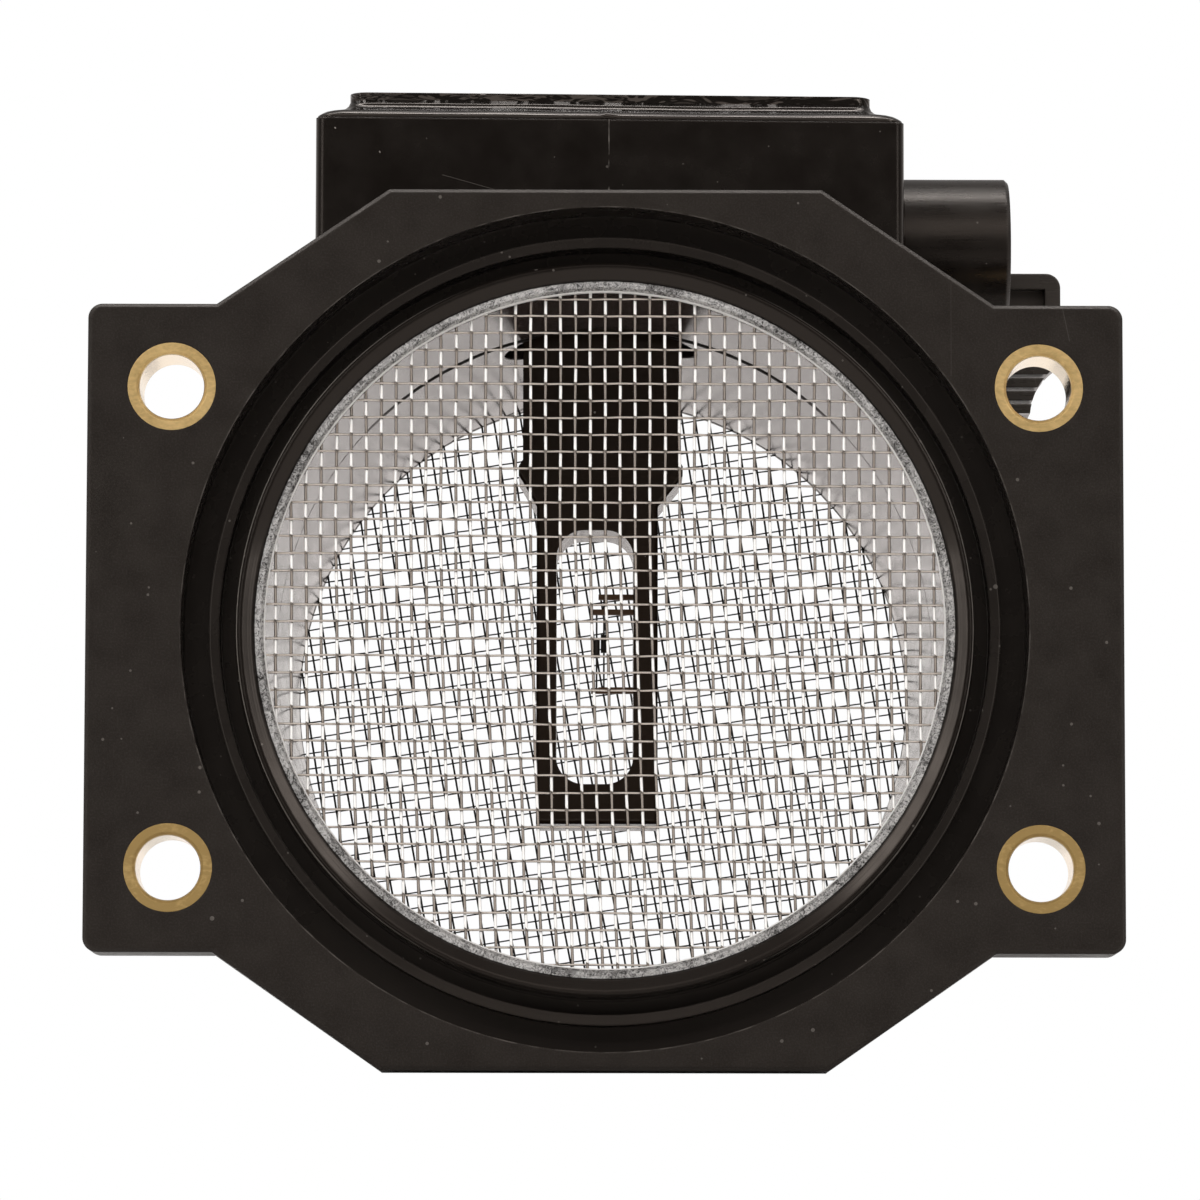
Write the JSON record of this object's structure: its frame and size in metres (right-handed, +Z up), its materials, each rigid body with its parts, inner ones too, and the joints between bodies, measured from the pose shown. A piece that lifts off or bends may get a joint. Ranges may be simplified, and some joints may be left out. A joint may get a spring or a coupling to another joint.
{
  "type": "mass airflow sensor",
  "caption": "Hot-wire mass airflow sensor: flanged flow tube with woven end screens, a sensor bar across the bore, an electronics box on top and a side connector.",
  "frame": {"origin": "centre of the bore and of the bolt pattern on the front face of the flange", "axes": "+Y along the bore the way the air flows, +Z up to the electronics box, +X to the connector"},
  "size_m": [0.1076, 0.092, 0.1047],
  "materials": {
    "body_plastic": "matt black glass-filled moulding",
    "bush_brass": "machined and slightly worn",
    "screen_wire": "drawn stainless wire",
    "ring_metal": "dull mottled zinc-grey",
    "bar_plastic": "semi-gloss black moulding",
    "seal_rubber": "black rubber",
    "pin_bronze": "browned bronze",
    "jumper_metal": "bright strip",
    "terminal_tin": "tinned",
    "element_ceramic": "dark glazed winding",
    "plate_metal": "rolled",
    "board_ceramic": "white alumina",
    "chip_plastic": "moulded black",
    "capacitor_ceramic": "fired tan",
    "resistor_glaze": "dark glaze",
    "cover_plastic": "gloss black",
    "sealant": "glossy cured sealant"
  },
  "bodies": {
    "root": {"bar_seal": "seal_rubber", "base_plate": "plate_metal", "bush_lower_left": "bush_brass", "bush_lower_right": "bush_brass", "bush_upper_left": "bush_brass", "bush_upper_right": "bush_brass", "capacitor_back": "capacitor_ceramic", "capacitor_front": "capacitor_ceramic", "circuit_board": "board_ceramic", "cold_element": "element_ceramic", "cold_jumper_high": "jumper_metal", "cold_jumper_low": "jumper_metal", "cold_pin_high": "pin_bronze", "cold_pin_low": "pin_bronze", "control_chip": "chip_plastic", "cover_plate": "cover_plastic", "flow_body": "body_plastic", "hot_element": "element_ceramic", "hot_jumper_high": "jumper_metal", "hot_jumper_low": "jumper_metal", "hot_pin_high": "pin_bronze", "hot_pin_low": "pin_bronze", "inlet_screen": "screen_wire", "inlet_screen_ring": "ring_metal", "outlet_screen": "screen_wire", "outlet_screen_ring": "ring_metal", "power_transistor": "chip_plastic", "sealant_bead": "sealant", "sense_resistor": "resistor_glaze", "sensor_bar": "bar_plastic", "terminal_1": "terminal_tin", "terminal_2": "terminal_tin", "terminal_3": "terminal_tin", "terminal_4": "terminal_tin", "terminal_5": "terminal_tin", "terminal_jumper_1": "jumper_metal", "terminal_jumper_2": "jumper_metal", "terminal_jumper_3": "jumper_metal", "terminal_jumper_4": "jumper_metal", "terminal_jumper_5": "jumper_metal", "trim_resistor": "resistor_glaze"}
  },
  "joints": []
}
